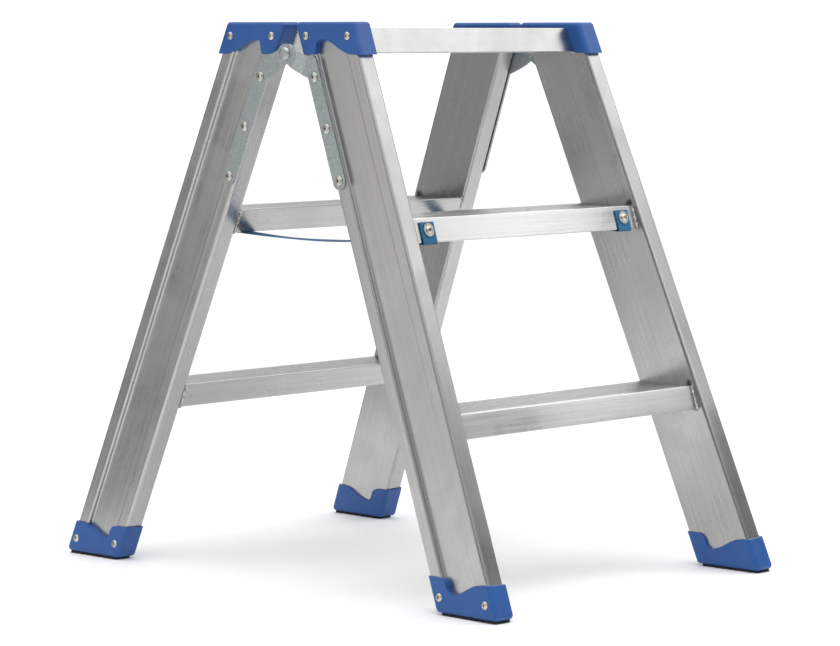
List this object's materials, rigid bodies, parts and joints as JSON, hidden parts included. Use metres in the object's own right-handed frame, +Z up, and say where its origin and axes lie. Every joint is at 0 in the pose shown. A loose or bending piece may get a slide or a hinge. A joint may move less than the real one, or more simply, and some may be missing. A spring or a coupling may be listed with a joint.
{
  "type": "step ladder",
  "caption": "Double-sided folding aluminium step ladder with box-section stiles, ribbed treads, blue plastic caps and feet, steel top hinges and webbing straps.",
  "frame": {"origin": "on the floor, under the middle of the open ladder", "axes": "+Z up, +X along the treads, +Y from the front frame to the rear frame"},
  "size_m": [0.5322, 0.7728, 0.703],
  "materials": {
    "stile_aluminium": "mill-finish extrusion with fine lengthwise lines",
    "tread_aluminium": "mill-finish extrusion, ribbed on top",
    "blue_plastic": "moulded polypropylene, fine grain, semi-matt",
    "black_rubber": "moulded ribbed rubber",
    "galvanised_steel": "galvanised, finely mottled",
    "rivet_steel": "plated steel, worn bright",
    "washer_steel": "zinc-plated steel",
    "blue_webbing": "woven polyester webbing"
  },
  "bodies": {
    "front_frame": {"front_cap_rivets": "rivet_steel", "front_foot_rivets": "rivet_steel", "front_hinge_rivets": "rivet_steel", "front_left_cap": "blue_plastic", "front_left_foot": "blue_plastic", "front_left_foot_pad": "black_rubber", "front_left_hinge_plate": "galvanised_steel", "front_left_stile": "stile_aluminium", "front_lower_tread": "tread_aluminium", "front_middle_tread": "tread_aluminium", "front_right_cap": "blue_plastic", "front_right_foot": "blue_plastic", "front_right_foot_pad": "black_rubber", "front_right_hinge_plate": "galvanised_steel", "front_right_stile": "stile_aluminium", "front_strap_rivets": "rivet_steel", "front_strap_washers": "washer_steel", "front_top_tread": "tread_aluminium", "left_pivot_rivet": "rivet_steel", "left_strap": "blue_webbing", "right_strap": "blue_webbing"},
    "rear_frame": {"rear_cap_rivets": "rivet_steel", "rear_foot_rivets": "rivet_steel", "rear_hinge_rivets": "rivet_steel", "rear_left_cap": "blue_plastic", "rear_left_foot": "blue_plastic", "rear_left_foot_pad": "black_rubber", "rear_left_hinge_plate": "galvanised_steel", "rear_left_stile": "stile_aluminium", "rear_lower_tread": "tread_aluminium", "rear_middle_tread": "tread_aluminium", "rear_right_cap": "blue_plastic", "rear_right_foot": "blue_plastic", "rear_right_foot_pad": "black_rubber", "rear_right_hinge_plate": "galvanised_steel", "rear_right_stile": "stile_aluminium", "rear_strap_rivets": "rivet_steel", "rear_strap_washers": "washer_steel", "rear_top_tread": "tread_aluminium", "right_pivot_rivet": "rivet_steel"}
  },
  "joints": [
    {"name": "fold", "type": "hinge", "parent": "front_frame", "child": "rear_frame", "pos_m": [0, 0, 0.6635], "axis": [-1, 0, 0], "range_deg": [0, 46.5], "deforming": ["left_strap", "right_strap"]}
  ]
}
